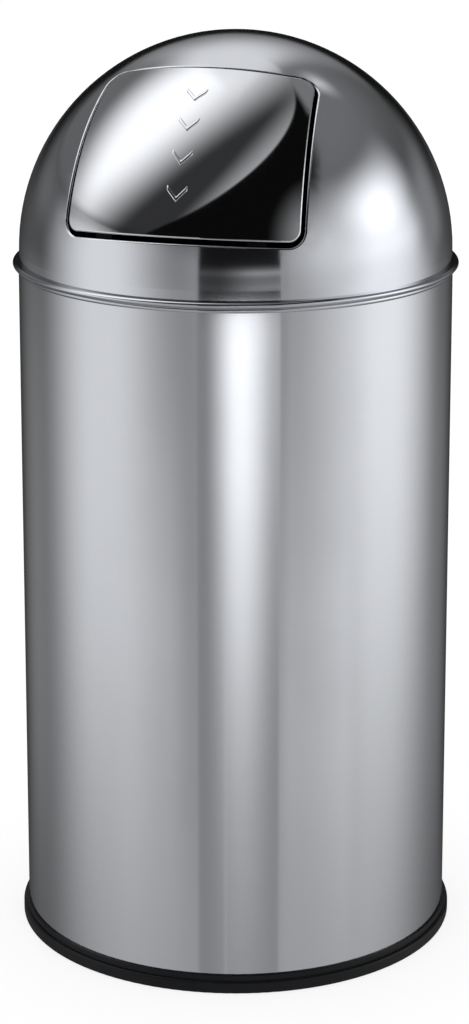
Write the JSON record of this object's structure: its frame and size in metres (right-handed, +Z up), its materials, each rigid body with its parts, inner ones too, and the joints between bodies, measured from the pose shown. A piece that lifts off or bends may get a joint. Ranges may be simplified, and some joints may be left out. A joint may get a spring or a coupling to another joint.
{
  "type": "push-lid waste bin",
  "caption": "Tall round steel waste bin with a half-ball lid, a spring-closed push flap, a floor ring and a lift-out inner bucket with a bail handle.",
  "frame": {"origin": "on the floor, on the axis of the bin", "axes": "+Z up along the bin's axis, the push flap faces -Y"},
  "size_m": [0.3574, 0.3574, 0.7381],
  "materials": {
    "satin_steel": "fine satin grain",
    "bright_steel": "bright drawn sheet",
    "polished_steel": "mirror polish",
    "moulded_black": "moulded, slight sheen",
    "mill_steel": "mill sheet",
    "black_steel": "black coat on sheet",
    "ground_steel": "ground bar",
    "spring_steel": "drawn wire",
    "nylon": "natural",
    "buffer_rubber": "soft",
    "galvanised": "spangled zinc"
  },
  "bodies": {
    "bin_body": {"body_shell": "satin_steel", "base_plate": "mill_steel", "base_ring": "moulded_black"},
    "lid": {"dome_lid": "bright_steel", "lid_skirt": "mill_steel", "hinge_bracket_left": "mill_steel", "hinge_bracket_right": "mill_steel", "hinge_bush_left": "nylon", "hinge_bush_right": "nylon", "return_spring_left": "spring_steel", "return_spring_right": "spring_steel"},
    "flap": {"flap_panel": "polished_steel", "hinge_rod": "ground_steel", "flap_lug_left": "mill_steel", "flap_lug_right": "mill_steel", "rod_cap_left": "moulded_black", "rod_cap_right": "moulded_black", "stop_clip_left": "black_steel", "stop_clip_right": "black_steel", "stop_buffer_left": "buffer_rubber", "stop_buffer_right": "buffer_rubber"},
    "bucket": {"bucket_wall": "galvanised", "bucket_base": "galvanised", "ear_rivets": "galvanised", "bail_ear_left": "galvanised", "bail_ear_right": "galvanised"},
    "bail": {"bail_wire": "galvanised", "bail_grip": "moulded_black"}
  },
  "joints": [
    {"name": "lid_lift", "type": "slide", "parent": "bin_body", "child": "lid", "axis": [0, 0, 1], "range_m": [0, 1.15]},
    {"name": "flap_push", "type": "hinge", "parent": "lid", "child": "flap", "pos_m": [0, -0.05058, 0.7007], "axis": [1, 0, 0], "range_deg": [0, 60], "stiffness_Nm_per_rad": 0.2, "springref_deg": -103.13, "deforming": ["return_spring_left", "return_spring_right"]},
    {"name": "bucket_lift", "type": "slide", "parent": "bin_body", "child": "bucket", "axis": [0, 0, 1], "range_m": [0, 0.56]},
    {"name": "bail_swing", "type": "hinge", "parent": "bucket", "child": "bail", "pos_m": [0, 0, 0.508], "axis": [1, 0, 0], "range_deg": [0, 213]}
  ],
  "couplings": [
    {"joint": "bucket_lift", "follows": "lid_lift", "ratio": 0.48}
  ]
}
